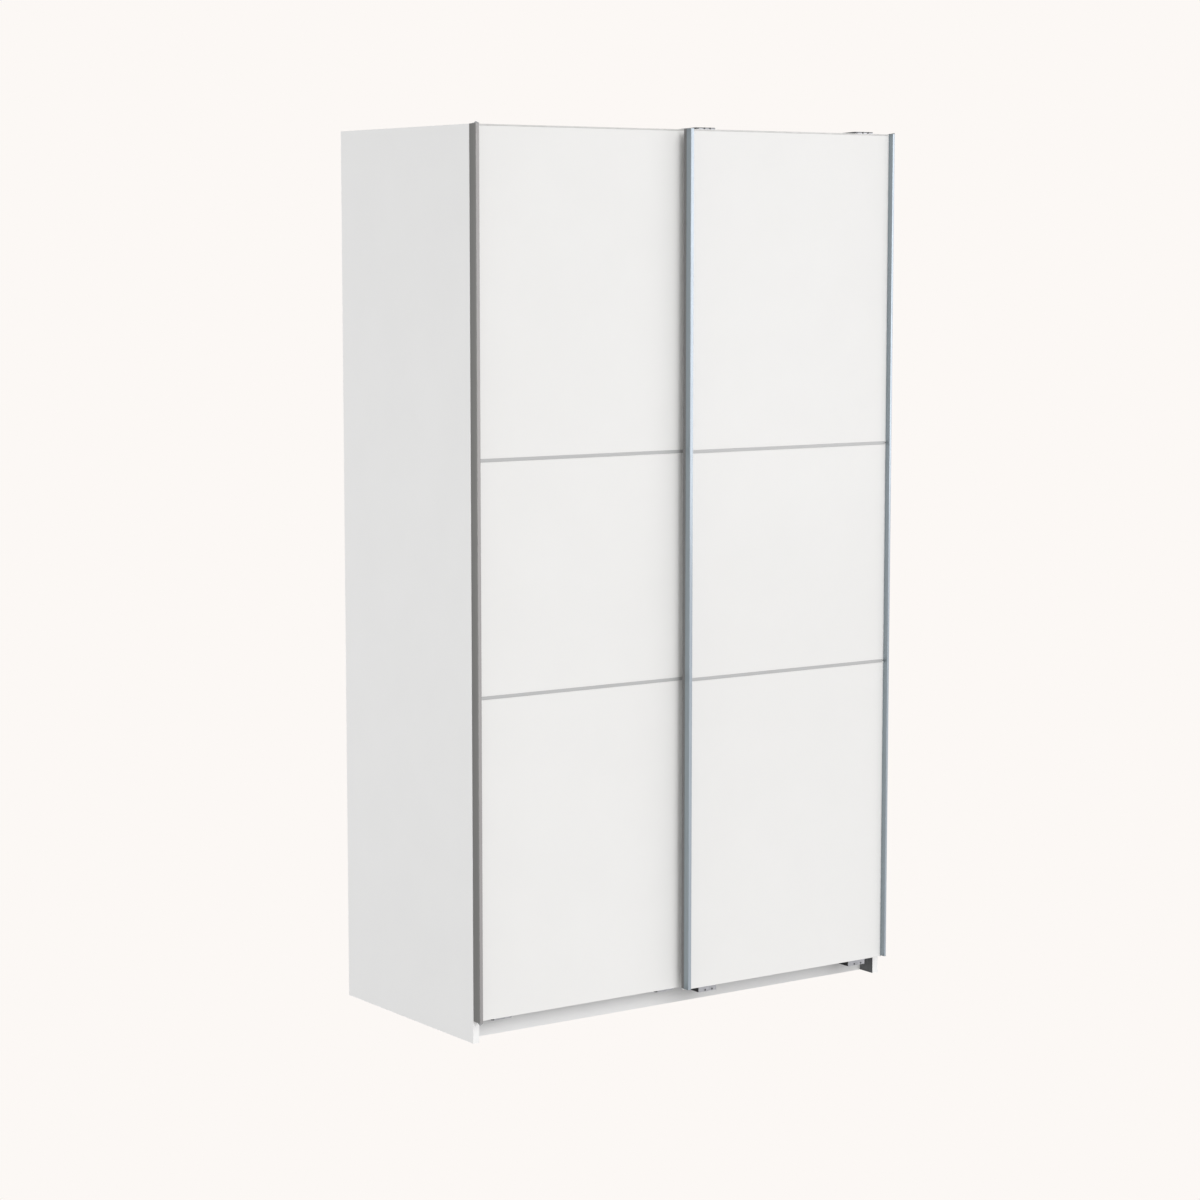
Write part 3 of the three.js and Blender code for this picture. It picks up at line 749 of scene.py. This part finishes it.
def add_back_nails():
    """Round heads along the boards that the back sheets are nailed to."""
    radius, crown_radius, rim, crown = mm(2.4), mm(2.2), mm(0.5), mm(0.7)
    head = [(0, 0), (radius, 0), (crown_radius, rim), (0, crown)]
    least_spacing = mm(140)
    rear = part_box("back_panel_left")[1].y
    nails = []
    for node in ("top_panel", "bottom_panel"):
        low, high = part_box(node)
        level = (low.z + high.z) / 2
        count = int((high.x - low.x) / least_spacing)
        step = (high.x - low.x) / count
        for k in range(count):
            x = low.x + (k + 0.5) * step
            nails.append(lathe(head, "y", (x, rear, level), 16))
    add_piece("back_nails", join(*nails), ZINC, "carcass")


def dress_rail():
    """The hanging rail and its cups, each cup with two screws."""
    low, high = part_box("hanging_rail")
    centre = (0, (low.y + high.y) / 2, (low.z + high.z) / 2)
    outer = (high.z - low.z) / 2
    inner = outer - mm(1.2)
    tube = [(inner, low.x), (outer, low.x), (outer, high.x), (inner, high.x)]
    plate_thickness, screw_offset = mm(3), mm(18.2)
    screws = []
    for node, direction in (("rail_bracket_left", 1), ("rail_bracket_right", -1)):
        keep_node(node, ZINC, edge=0.5)
        low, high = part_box(node)
        plate = low.x + plate_thickness if direction > 0 else high.x - plate_thickness
        for side in (-1, 1):
            spot = (plate, centre[1] + side * screw_offset, centre[2])
            screws.append(screw_head(spot, "x", direction, mm(2.6), mm(1.4)))
    add_piece("hanging_tube", lathe(tube, "x", centre, 64), CHROME, "carcass",
              ("hanging_rail",))
    add_piece("rail_screws", join(*screws), ZINC, "carcass")


def dress_tracks():
    """Track, stops and guide rail, and a row of screws along the track's rear flange."""
    keep_node("top_track", DRAWN_STRIP, edge=0.25)
    keep_node("bottom_guide_rail", DRAWN_STRIP, edge=0.2)
    for row in ("front", "rear"):
        for side in SIDES:
            keep_node(f"track_stop_{row}_{side}", BLACK_PLASTIC, edge=0.8)
    low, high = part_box("top_track")
    count, from_end, from_rear, base = 8, mm(30), mm(4), mm(1.5)
    step = (high.x - low.x - 2 * from_end) / (count - 1)
    screws = []
    for k in range(count):
        spot = (low.x + from_end + k * step, high.y - from_rear, low.z + base)
        screws.append(screw_head(spot, "z", 1, mm(3), mm(1.6)))
    add_piece("track_screws", join(*screws), ZINC, "carcass")


# ------ doors

# How far the caps at each lip's top and bottom rise at its outer front corner, in mm.
CAP_RISE = {
    ("rear_door", "left"): (4.3, 4.5), ("rear_door", "right"): (0.4, 3.0),
    ("front_door", "left"): (1.2, 1.0), ("front_door", "right"): (3.0, 1.0),
}
# How far the lower ends of a door's handles are cut back, in mm.
CUT_BACK = {"rear_door": 0, "front_door": 3.5}
# How much narrower and how much shallower the closing handle's lip is, in mm.
SLIMMER = {("front_door", "right"): (3.0, 1.5)}

CAP_THICKNESS = mm(0.8)             # of the flat rear part of an end cap, at most
CAP_SLOPE = 0.55                    # share of an end cap's depth that slopes
HANDLE_WALL = mm(1.2)
HANDLE_CORNERS = mm(0.6, 0.5, 0.4, 0.3, 0.3, 0.4, 0.4, 0.6)     # from the lip's outer front corner


def end_cap(outer, inner, front, rear, level, rise):
    """A cap on a lip: flat behind, and rising towards the lip's outer front corner."""
    flat = math.copysign(min(CAP_THICKNESS, abs(rise)), rise)
    slope_end = front + (rear - front) * CAP_SLOPE
    rows = [(front, rise, flat), (slope_end, flat, flat), (rear, flat, flat)]
    verts, faces = [], [(0, 1, 2, 3), (8, 9, 10, 11)]
    for y, at_outer, at_inner in rows:
        corners = [(outer, 0), (outer, at_outer), (inner, at_inner), (inner, 0)]
        verts += [(x, y, level + height) for x, height in corners]
    for row in (0, 4):
        for k in range(4):
            n = (k + 1) % 4
            faces.append((row + k, row + n, row + 4 + n, row + 4 + k))
    return verts, faces


def handle_profile(door, side):
    """Extruded handle with rounded lip corners and a hollow lip, and a plug in each end."""
    node = f"{door}_profile_{side}"
    low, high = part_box(node)
    low.z += mm(CUT_BACK[door])
    narrower, shallower = mm(*SLIMMER.get((door, side), (0, 0)))
    low.y += shallower
    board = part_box(f"{door}_board_middle")
    inward = 1 if side == "left" else -1
    outer = low.x if side == "left" else high.x
    wall = HANDLE_WALL
    width = high.x - low.x
    lip = width - narrower
    pocket_front, pocket_rear = board[0].y - CLEARANCE, board[1].y + CLEARANCE

    def place(points):
        """Plan points: u runs inwards from the handle's outer face."""
        return [(outer + inward * u, y) for u, y in points]

    section = place([
        (0, low.y), (lip, low.y), (lip, pocket_front), (wall, pocket_front),
        (wall, pocket_rear), (width, pocket_rear), (width, high.y), (0, high.y),
    ])
    front, rear = low.y + wall, pocket_front - wall
    hollow = place([(wall, front), (wall, rear), (lip - wall, rear), (lip - wall, front)])
    holes = [rounded(hollow, mm(0.5), 2)]
    shape = run_section(rounded(section, HANDLE_CORNERS, 4), "z", low.z, high.z, holes)
    add_piece(f"{node}_handle", shape, ALUMINIUM[door], door, (node,))

    inset, reach = wall * 1.3, mm(12)
    front, rear = low.y + inset, pocket_front - inset
    square = place([(inset, front), (lip - inset, front), (lip - inset, rear), (inset, rear)])
    tongue = rounded(square, mm(0.4), 2)
    top_rise, bottom_rise = mm(*CAP_RISE[door, side])
    plan = (outer, outer + inward * lip, low.y, pocket_front)
    plugs = [
        end_cap(*plan, high.z, top_rise), run_section(tongue, "z", high.z - reach, high.z),
        end_cap(*plan, low.z, -bottom_rise), run_section(tongue, "z", low.z, low.z + reach),
    ]
    plug = add_piece(f"{node}_plugs", join(*plugs), GREY_CAP, door)
    soften(plug, mm(0.3))


def seal_and_painted_gap_shade():
    """Grey felt along the rear half of the front door's left handle: a seal, and also painted shade for
    the gap between the doors.
    """
    low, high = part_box("front_door_profile_left")
    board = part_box("front_door_board_middle")
    thick, inset, before_board = mm(0.3), mm(0.4), mm(0.5)
    start, end = board[0].y - before_board, high.y - inset
    outline = [(low.x - thick, start), (low.x, start), (low.x, end), (low.x - thick, end)]
    foot = low.z + mm(CUT_BACK["front_door"]) + inset
    shape = run_section(rounded(outline, mm(0.1), 2), "z", foot, high.z - inset)
    add_piece("front_door_seal_and_painted_gap_shade", shape, FELT_AND_PAINTED_GAP_SHADE, "front_door")


def top_trim(door):
    """A thin strip folded over the front top edge of a door's upper board."""
    low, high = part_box(f"{door}_board_top")
    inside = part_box(f"{door}_divider_upper")
    lap, proud, rise = mm(3), mm(0.5), mm(0.6)
    outline = [
        (low.y - proud, high.z - lap), (low.y, high.z - lap), (low.y, high.z),
        (high.y, high.z), (high.y, high.z + rise), (low.y - proud, high.z + rise),
    ]
    radii = [mm(0.1), 0, 0, 0, mm(0.2), mm(0.45)]
    shape = run_section(rounded(outline, radii, 3), "x", inside[0].x, inside[1].x)
    add_piece(f"{door}_top_trim", shape, TOP_TRIM, door)


HANGER_SHEET = mm(2)
HANGER_SLOT = mm(5, 11)             # width and height of a slot for a wood screw
WEB_SLOT = mm(7, 30)                # of an adjusting slot in the web over the track


def hanger(door, side):
    """Bent zinc plate with its slots and screws."""
    node = f"{door}_hanger_{side}"
    low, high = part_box(node)
    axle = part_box(f"{door}_axle_{side}")
    hub_z = (axle[0].z + axle[1].z) / 2
    middle = (low.x + high.x) / 2
    sheet, bend, leg_drop = HANGER_SHEET, mm(2.2), mm(6)
    half = sheet / 2
    long_web = high.y - low.y > mm(60)
    fall = mm(3) if long_web else 0
    path = [
        (low.y + half, low.z), (low.y + half, high.z - half),
        (high.y - half, high.z - half - fall), (high.y - half, hub_z - leg_drop),
    ]
    bent = run_section(bent_sheet(path, sheet, bend), "x", low.x, high.x)
    plate = make_object(node + "_plate", bent)

    beside, heights = mm(18), mm(14, 44)
    slots = [(middle + dx, low.z + dz) for dx in (-beside, beside) for dz in heights]
    through_plate = ("y", low.y - OVERLAP, low.y + sheet + OVERLAP)
    through_leg = ("y", high.y - sheet - OVERLAP, high.y + OVERLAP)
    through_web = ("z", high.z - sheet - fall - OVERLAP, high.z + OVERLAP)
    cutters = [run_section(slot_outline(spot, *HANGER_SLOT), *through_plate) for spot in slots]
    cutters.append(run_section(circle((middle, hub_z), mm(3.2), 32), *through_leg))
    if long_web:
        beside, slot_y = mm(15), (low.y + high.y) / 2
        for dx in (-beside, beside):
            cutters.append(run_section(slot_outline((middle + dx, slot_y), *WEB_SLOT), *through_web))
    cut_holes(plate, cutters)
    soften(plate, mm(0.25))
    dress(plate, DULL_ZINC if door == "front_door" else ZINC, door, (node,))

    heads = [screw_head((x, low.y + sheet, z), "y", 1, mm(4), mm(1.2)) for x, z in slots]
    add_piece(node + "_screws", join(*heads), ZINC, door)
    if door == "front_door":
        crest_marks(node, door, low, high)


def crest_marks(node, door, low, high):
    """Black adjusting cam and two set screws in the crest of a front hanger."""
    level = high.z - mm(2)
    cam_left, cam_right = low.x + mm(0.3), low.x + mm(7)
    cam_bottom, cam_top = level - mm(1.6), level + mm(1.5)
    cam = rounded([(cam_left, cam_bottom), (cam_right, cam_bottom),
                   (cam_right, cam_top), (cam_left, cam_top)], mm(0.8), 3)
    marks = [run_section(cam, "y", low.y - mm(1.2), low.y)]
    radius, rim, face_radius, face = mm(2), mm(1), mm(1.6), mm(1.4)
    mouth, socket, socket_face = mm(0.9), mm(0.8), mm(0.6)
    head = [(0, 0), (radius, 0), (radius, -rim), (face_radius, -face), (mouth, -face),
            (socket, -socket_face), (0, -socket_face)]
    for offset in mm(23, 39):
        marks.append(lathe(head, "y", (low.x + offset, low.y, level), 20))
    add_piece(f"{node}_adjusters", join(*marks), DARK_STEEL, door)


def roller(door, side):
    """Nylon roller with a grooved tread, a recessed web and a steel bush."""
    node = f"{door}_roller_{side}"
    low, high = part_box(node)
    centre = (low + high) / 2
    half, rim = (high.y - low.y) / 2, (high.z - low.z) / 2
    tread, groove, fillet = rim - mm(1.2), mm(1.9), mm(0.15)
    groove_floor = groove * 0.8
    bore, bush, hub = mm(3.25), mm(4.4), mm(6.2)
    web_inner, web_outer, recess = mm(6.8), mm(10), mm(1.6)
    chamfer, lead = mm(0.7), mm(0.3)
    half_profile = [
        (tread, groove_floor), (tread + fillet, groove),
        (rim - mm(0.1), groove + chamfer / 2), (rim, groove + chamfer),
        (rim, half - chamfer), (rim - chamfer, half), (web_outer + lead, half),
        (web_outer, half - recess), (web_inner, half - recess),
        (hub, half), (bush + mm(0.1), half),
    ]
    mirrored = [(r, -h) for r, h in reversed(half_profile)]
    ring = lathe(mirrored + half_profile, "y", centre, 64)
    add_piece(f"{node}_nylon", ring, WHITE_PLASTIC, node, (node,))
    sleeve = [(bore, -half), (bush, -half), (bush, half), (bore, half)]
    add_piece(f"{node}_bush", lathe(sleeve, "y", centre, 40), ZINC, node)
    axle_rivet(door, side, centre)


def axle_rivet(door, side, centre):
    """The rivet that a roller turns on, with a domed head at each end."""
    axle = f"{door}_axle_{side}"
    low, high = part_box(axle)
    shaft, head = mm(3), (high.z - low.z) / 2
    thick, dome = mm(1.2), mm(0.5)
    crown, shoulder = head - mm(1.4), head - mm(0.2)
    front, rear = low.y - centre.y, high.y - centre.y
    rivet = [
        (0, front), (crown, front), (shoulder, front + dome), (head, front + thick),
        (shaft, front + thick), (shaft, rear - thick), (head, rear - thick),
        (shoulder, rear - dome), (crown, rear), (0, rear),
    ]
    add_piece(f"{axle}_rivet", lathe(rivet, "y", centre, 40), ZINC, door, (axle,))


# Level of the arm's upper face, and the dark rivets' places from the plate's left and lower edge.
GUIDE_ARM_TOP = {"rear_door": mm(48.5), "front_door": mm(45)}
GUIDE_RIVET_X = {"rear_door": (mm(2.5),), "front_door": mm(19, 39)}
GUIDE_RIVET_Z = {"rear_door": mm(2.3), "front_door": mm(3.6)}


def guide_plate(door, node):
    """The zinc plate of a guide foot, behind the door's lowest board."""
    low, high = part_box(node)
    rear = low.y + mm(1.6)
    corners = [(low.x, low.z), (high.x, low.z), (high.x, high.z), (low.x, high.z)]
    radii = mm(0.6, 0.6, 3, 3)
    shape = run_section(rounded(corners, radii, 4), "y", low.y, rear)
    plate = add_piece(node + "_plate", shape, DULL_ZINC, door, (node,))
    soften(plate, mm(0.25))
    return rear


def guide_arm(door, node, plate_rear, wheel):
    """The black arm with the wheel's spigot and, on the front door, two ribs."""
    low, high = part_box(node)
    wheel_centre = (wheel[0] + wheel[1]) / 2
    top = GUIDE_ARM_TOP[door]
    end = wheel_centre.y + mm(7)
    taper, margin = mm(14), mm(0.2)
    left, right = low.x + margin, high.x - margin
    shoulder = end - taper * 0.4
    outline = [
        (left, plate_rear), (right, plate_rear), (right, shoulder),
        (high.x - taper, end), (low.x + taper, end), (left, shoulder),
    ]
    arm = run_section(rounded(outline, mm(0.5, 0.5, 3, 3, 3, 3), 4), "z", low.z, top)

    ribs = []
    if door == "front_door":
        depth, height, slope, half_rib, from_edge = mm(2), mm(5), mm(1), mm(1.2), mm(1.5)
        rib = [(plate_rear, top), (plate_rear + depth, top),
               (plate_rear + depth, top + height - slope), (plate_rear, top + height)]
        for x in (low.x + from_edge, high.x - from_edge):
            ribs.append(run_section(rib, "x", x - half_rib, x + half_rib))

    spigot, root, snap, fillet = mm(2.5), mm(4), mm(3.3), mm(0.8)
    wheel_top = wheel[1].z
    under_snap, widest, spigot_top = wheel_top + mm(0.3), wheel_top + mm(0.35), wheel_top + mm(0.8)
    profile = [
        (0, top), (root, top), (spigot, top + fillet), (spigot, under_snap),
        (snap, widest), (spigot, spigot_top), (0, spigot_top),
    ]
    pin = lathe(profile, "z", (wheel_centre.x, wheel_centre.y, 0), 32)
    foot = add_piece(node + "_arm", join(arm, pin, *ribs), BLACK_PLASTIC, door)
    soften(foot, mm(0.3))


def guide(door, side):
    """Guide foot: plate, screws, rivets and the arm under the guide rail."""
    node = f"{door}_guide_{side}"
    low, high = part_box(node)
    middle = (low.x + high.x) / 2
    plate_rear = guide_plate(door, node)
    guide_arm(door, node, plate_rear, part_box(f"{door}_guide_wheel_{side}"))

    screw_z, beside = high.z - mm(9), mm(16)
    heads = [screw_head((middle + dx, plate_rear, screw_z), "y", 1, mm(3.4), mm(1.2))
             for dx in (-beside, beside)]
    add_piece(node + "_screws", join(*heads), ZINC, door)
    radius, rim, crown_radius, crown = mm(2.2), mm(0.5), mm(1.7), mm(0.9)
    rivet = [(0, 0), (radius, 0), (radius, -rim), (crown_radius, -crown), (0, -crown)]
    level = low.z + GUIDE_RIVET_Z[door]
    buttons = [lathe(rivet, "y", (low.x + dx, low.y, level), 20) for dx in GUIDE_RIVET_X[door]]
    add_piece(node + "_rivets", join(*buttons), DARK_STEEL, door)


def guide_wheel(door, side):
    """Small nylon wheel with a rim that stands out from its web on both faces."""
    node = f"{door}_guide_wheel_{side}"
    low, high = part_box(node)
    centre = (low + high) / 2
    half, rim = (high.z - low.z) / 2, (high.x - low.x) / 2
    bore, hub, web_start, step = mm(2.65), mm(4), mm(4.3), mm(0.6)
    rim_inner, rim_face, rim_outer = rim - mm(1.8), rim - mm(1.5), rim - mm(0.5)
    half_profile = [
        (rim, half - step), (rim_outer, half), (rim_face, half), (rim_inner, half - step),
        (web_start, half - step), (hub, half), (bore, half),
    ]
    mirrored = [(r, -h) for r, h in reversed(half_profile)]
    ring = lathe(mirrored + half_profile, "z", centre, 48)
    add_piece(node + "_nylon", ring, WHITE_PLASTIC, node, (node,))


def dress_door(door):
    """Boards, strips, handles and running gear of one door."""
    for part in ("top", "middle", "bottom"):
        keep_node(f"{door}_board_{part}", DOOR_FOIL, edge=0.5)
    for part in ("upper", "lower"):
        keep_node(f"{door}_divider_{part}", MATT_STRIP, edge=0.25)
    top_trim(door)
    for side in SIDES:
        handle_profile(door, side)
        hanger(door, side)
        roller(door, side)
        guide(door, side)
        guide_wheel(door, side)


# ------ camera, light and floor

# The eye is placed from the lower front left corner of the carcass, in metres.
EYE = Vector((-3.576, -5.588, 1.763))
EYE_TURN = 0.6119                   # radians
EYE_TILT = 0.1151
LENS = 91.26                        # on a sensor 36 wide, both in mm
SENSOR = 36


def add_camera():
    """The eye, turned to the right and tilted down from looking level along Y."""
    corner = Vector((CAD_BOX[0][0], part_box("side_panel_left")[0].y, 0))
    data = bpy.data.cameras.new("camera")
    data.sensor_width = SENSOR
    data.lens = LENS
    data.clip_start = 0.1
    data.clip_end = 60
    camera = bpy.data.objects.new("camera", data)
    camera.location = corner + EYE
    camera.rotation_euler = (math.pi / 2 - EYE_TILT, 0, -EYE_TURN)
    scene.collection.objects.link(camera)
    scene.camera = camera


BACKDROP = (0.974, 0.939, 0.913)
WORLD_LEVEL = 0.5


def add_world():
    """An even white sky, which fills the shadows."""
    world = bpy.data.worlds.new("studio")
    world.use_nodes = True
    background = world.node_tree.nodes["Background"]
    background.inputs["Color"].default_value = (1, 1, 1, 1)
    background.inputs["Strength"].default_value = WORLD_LEVEL
    scene.world = world


def stage_surface(name, shape, material):
    """A surface of the set, which isn't part of the wardrobe."""
    item = make_object(name, shape)
    item.data.materials.append(material)
    return item


def glowing(name, colour, strength):
    """A material that only shines, so that its tone doesn't depend on the lights."""
    material = bpy.data.materials.new(name)
    material.use_nodes = True
    shader = material.node_tree.nodes["Principled BSDF"]
    shader.inputs["Base Color"].default_value = (0, 0, 0, 1)
    shader.inputs["Specular IOR Level"].default_value = 0.0
    shader.inputs["Roughness"].default_value = 1.0
    shader.inputs["Emission Color"].default_value = (*colour, 1)
    shader.inputs["Emission Strength"].default_value = strength
    return material


def add_floor():
    """Pale floor that sweeps up into the backdrop, so that no edge shows."""
    radius, bend, height, below, steps = 22.0, 6.0, 24.0, mm(2), 8
    flat = radius - bend
    angles = [math.pi / 2 * k / steps for k in range(1, steps + 1)]
    arc = [(flat + bend * math.sin(a), bend - bend * math.cos(a) - below) for a in angles]
    profile = [(0, -below), (flat, -below), *arc, (radius, height), (0, height)]
    bowl = lathe(profile, "z", (0, 0, 0), 64)
    floor = stage_surface("floor", bowl, glowing("pale_floor", BACKDROP, 1.0))
    floor.visible_diffuse = False
    floor.visible_glossy = False
    floor.visible_transmission = False
    floor.visible_shadow = False


def add_light(name, size, location, aim, brightness, colour):
    """A rectangular softbox. brightness is its radiance; the backdrop's is about 1."""
    data = bpy.data.lights.new(name, "AREA")
    data.shape = "RECTANGLE"
    data.size, data.size_y = size
    data.energy = brightness * math.pi * size[0] * size[1]
    data.color = colour
    lamp = bpy.data.objects.new(name, data)
    lamp.location = location
    lamp.rotation_euler = (Vector(aim) - Vector(location)).to_track_quat("-Z", "Y").to_euler()
    lamp.visible_camera = False
    scene.collection.objects.link(lamp)
    return lamp


def add_sky_glow(name, turn, rise, spread, strength):
    """A soft disc of sky, turned to the right of straight ahead and risen above the horizon."""
    data = bpy.data.lights.new(name, "SUN")
    data.angle = spread
    data.energy = strength
    lamp = bpy.data.objects.new(name, data)
    level = math.cos(rise)
    towards = Vector((math.sin(turn) * level, -math.cos(turn) * level, math.sin(rise)))
    lamp.rotation_euler = towards.to_track_quat("Z", "Y").to_euler()
    scene.collection.objects.link(lamp)


def add_lights():
    """A frontal glow, a softbox on the left, and two cards that only show as reflections."""
    add_sky_glow("key_front", turn=math.radians(-4), rise=math.radians(26),
                 spread=math.radians(40), strength=1.53)
    add_light("fill_left", size=(3, 3), location=(-5.5, 0.2, 1.1), aim=(0, 0, 1),
              brightness=3.25, colour=(1, 1, 1))
    card = add_light("card_right", size=(5.5, 5.5), location=(2.9, -4.3, 0.7),
                     aim=(0, -0.3, 0.7), brightness=0.95, colour=(1, 0.95, 1))
    shine = add_light("shine_right", size=(0.95, 1.5), location=(0.735, -0.875, 1.8),
                      aim=(0.735, 0, 1.8), brightness=1.7, colour=(1, 0.97, 1))
    for lamp in (card, shine):
        lamp.visible_diffuse = False


dress_carcass()
add_edge_bands()
add_shelf_pins()
add_cam_caps()
add_back_nails()
dress_rail()
dress_tracks()
for door_name in DOORS:
    dress_door(door_name)
# The felt strip is partly painted shade for the gap between the doors.
seal_and_painted_gap_shade()
add_camera()
add_world()
add_floor()
add_lights()

scene.view_settings.view_transform = "Standard"
scene.view_settings.look = "None"
